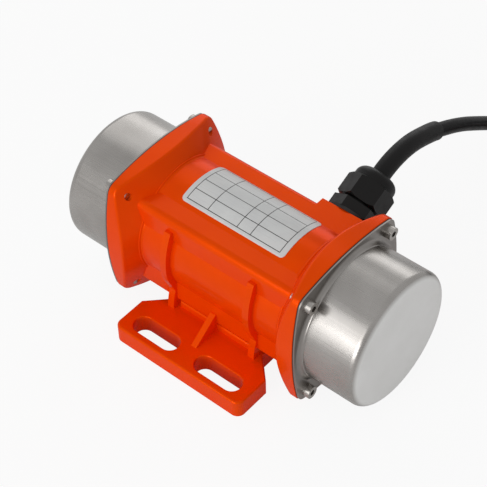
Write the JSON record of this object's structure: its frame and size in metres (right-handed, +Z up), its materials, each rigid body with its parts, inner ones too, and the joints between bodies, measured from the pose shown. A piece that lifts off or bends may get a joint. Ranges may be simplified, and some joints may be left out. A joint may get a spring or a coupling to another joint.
{
  "type": "vibration motor",
  "caption": "Cylindrical vibration motor on a slotted foot, with steel end caps over adjustable eccentric weights, a ribbed casting and a cable gland with its lead.",
  "frame": {"origin": "middle of the foot on its underside", "axes": "+Z up, X along the shaft with the gland end at +X, +Y towards the gland side"},
  "size_m": [0.2312, 0.3567, 0.0852],
  "materials": {
    "orange_paint": "gloss orange enamel",
    "stainless": "satin deep-drawn stainless",
    "gasket_rubber": "matt",
    "zinc_steel": "bright zinc",
    "cast_alloy": "as cast",
    "bearing_steel": "ground",
    "seal_rubber": "matt",
    "machined_steel": "machined",
    "ferrite": "sintered",
    "lamination": "stacked sheet",
    "copper": "enamelled copper",
    "moulded_board": "moulded",
    "carbon": "graphite",
    "black_nylon": "satin moulded nylon",
    "sleeve_rubber": "satin",
    "cable_sheath": "satin"
  },
  "bodies": {
    "housing": {"brush_holder": "moulded_board", "brush_holder_screws": "zinc_steel", "brush_springs": "zinc_steel", "brushes": "carbon", "cable": "cable_sheath", "cable_coil": "cable_sheath", "cable_entry": "cable_sheath", "cable_sleeve": "sleeve_rubber", "coil_tie": "black_nylon", "field_magnets": "ferrite", "gland_body": "black_nylon", "gland_nut": "black_nylon", "gland_seal": "seal_rubber", "gland_washer": "seal_rubber", "housing": "orange_paint", "left_bearing_outer_ring": "bearing_steel", "left_bearing_seals": "seal_rubber", "left_cover": "stainless", "left_cover_gasket": "gasket_rubber", "left_cover_screws": "zinc_steel", "left_end_shield": "cast_alloy", "left_shield_screws": "zinc_steel", "motor_leads": "copper", "right_bearing_outer_ring": "bearing_steel", "right_bearing_seals": "seal_rubber", "right_cover": "stainless", "right_cover_gasket": "gasket_rubber", "right_cover_screws": "zinc_steel", "right_end_shield": "cast_alloy", "right_shield_screws": "zinc_steel", "stator_yoke": "machined_steel", "wire_ends": "copper"},
    "rotor": {"armature_core": "lamination", "armature_winding": "copper", "commutator": "copper", "left_bearing_balls": "bearing_steel", "left_bearing_inner_ring": "bearing_steel", "left_fixed_weight": "machined_steel", "left_fixed_weight_screw": "zinc_steel", "left_spacer": "machined_steel", "right_bearing_balls": "bearing_steel", "right_bearing_inner_ring": "bearing_steel", "right_fixed_weight": "machined_steel", "right_fixed_weight_screw": "zinc_steel", "right_spacer": "machined_steel", "shaft": "machined_steel"},
    "left_adjustable_weight": {"left_adjustable_weight": "machined_steel", "left_adjustable_weight_screw": "zinc_steel"},
    "right_adjustable_weight": {"right_adjustable_weight": "machined_steel", "right_adjustable_weight_screw": "zinc_steel"}
  },
  "joints": [
    {"name": "rotor_spin", "type": "hinge", "parent": "housing", "child": "rotor", "pos_m": [0, 0, 0.0435], "axis": [1, 0, 0], "continuous": true},
    {"name": "left_weight_adjust", "type": "hinge", "parent": "rotor", "child": "left_adjustable_weight", "pos_m": [-0.0863, 0, 0.0435], "axis": [1, 0, 0], "range_deg": [0, 180]},
    {"name": "right_weight_adjust", "type": "hinge", "parent": "rotor", "child": "right_adjustable_weight", "pos_m": [0.0863, 0, 0.0435], "axis": [1, 0, 0], "range_deg": [0, 180]}
  ]
}
